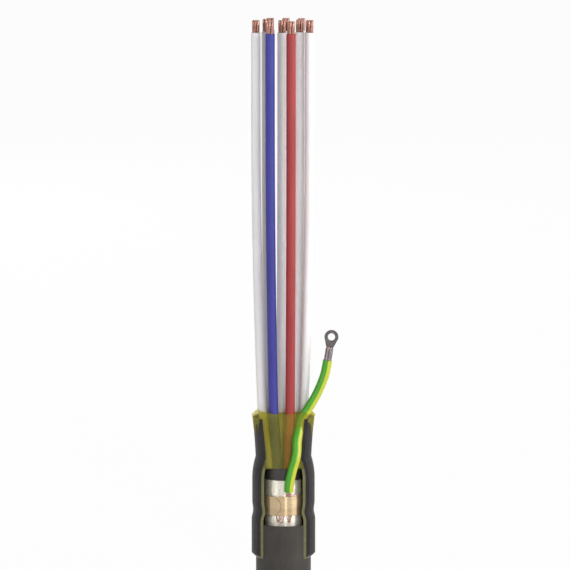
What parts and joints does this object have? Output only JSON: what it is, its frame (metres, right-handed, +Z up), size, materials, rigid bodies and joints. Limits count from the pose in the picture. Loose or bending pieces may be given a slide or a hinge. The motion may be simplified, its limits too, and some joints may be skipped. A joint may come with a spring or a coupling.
{
  "type": "cable termination",
  "caption": "Heat-shrink termination of a multicore screened cable, cut open at the front: spring-clamped screen, sealed breakout, fanned cores, earth lead with ring lug.",
  "frame": {"origin": "centre of the cable's cut end", "axes": "+Z up the cable to the core ends, section faces -Y"},
  "size_m": [0.0393, 0.0276, 0.2596],
  "materials": {
    "sheath": "matte dark grey",
    "screen": "bright crinkled tape",
    "belt": "matte black",
    "spring": "bright rolled bronze",
    "copper": "bare copper",
    "sleeve": "satin black",
    "adhesive": "hot-melt adhesive",
    "sealant": "translucent olive",
    "earth_lead": "green and yellow",
    "lug": "dull tinned copper",
    "core_blue": "satin blue",
    "core_red": "satin red",
    "core_white": "satin white"
  },
  "bodies": {
    "root": {"outer_sheath": "sheath", "screen_tape": "screen", "inner_belt": "belt", "roll_spring": "spring", "earth_strands": "copper", "shrink_sleeve": "sleeve", "adhesive_liner": "adhesive", "sealant_plug": "sealant", "earth_lead": "earth_lead", "lug_wire_end": "copper", "ring_lug": "lug", "blue_core_insulation": "core_blue", "red_core_insulation": "core_red", "white_core_1_insulation": "core_white", "white_core_2_insulation": "core_white", "white_core_3_insulation": "core_white", "white_core_4_insulation": "core_white", "white_core_5_insulation": "core_white", "white_core_6_insulation": "core_white", "white_core_7_insulation": "core_white", "white_core_8_insulation": "core_white", "blue_core_conductor": "copper", "red_core_conductor": "copper", "white_core_1_conductor": "copper", "white_core_2_conductor": "copper", "white_core_3_conductor": "copper", "white_core_4_conductor": "copper", "white_core_5_conductor": "copper", "white_core_6_conductor": "copper", "white_core_7_conductor": "copper", "white_core_8_conductor": "copper"}
  },
  "joints": []
}
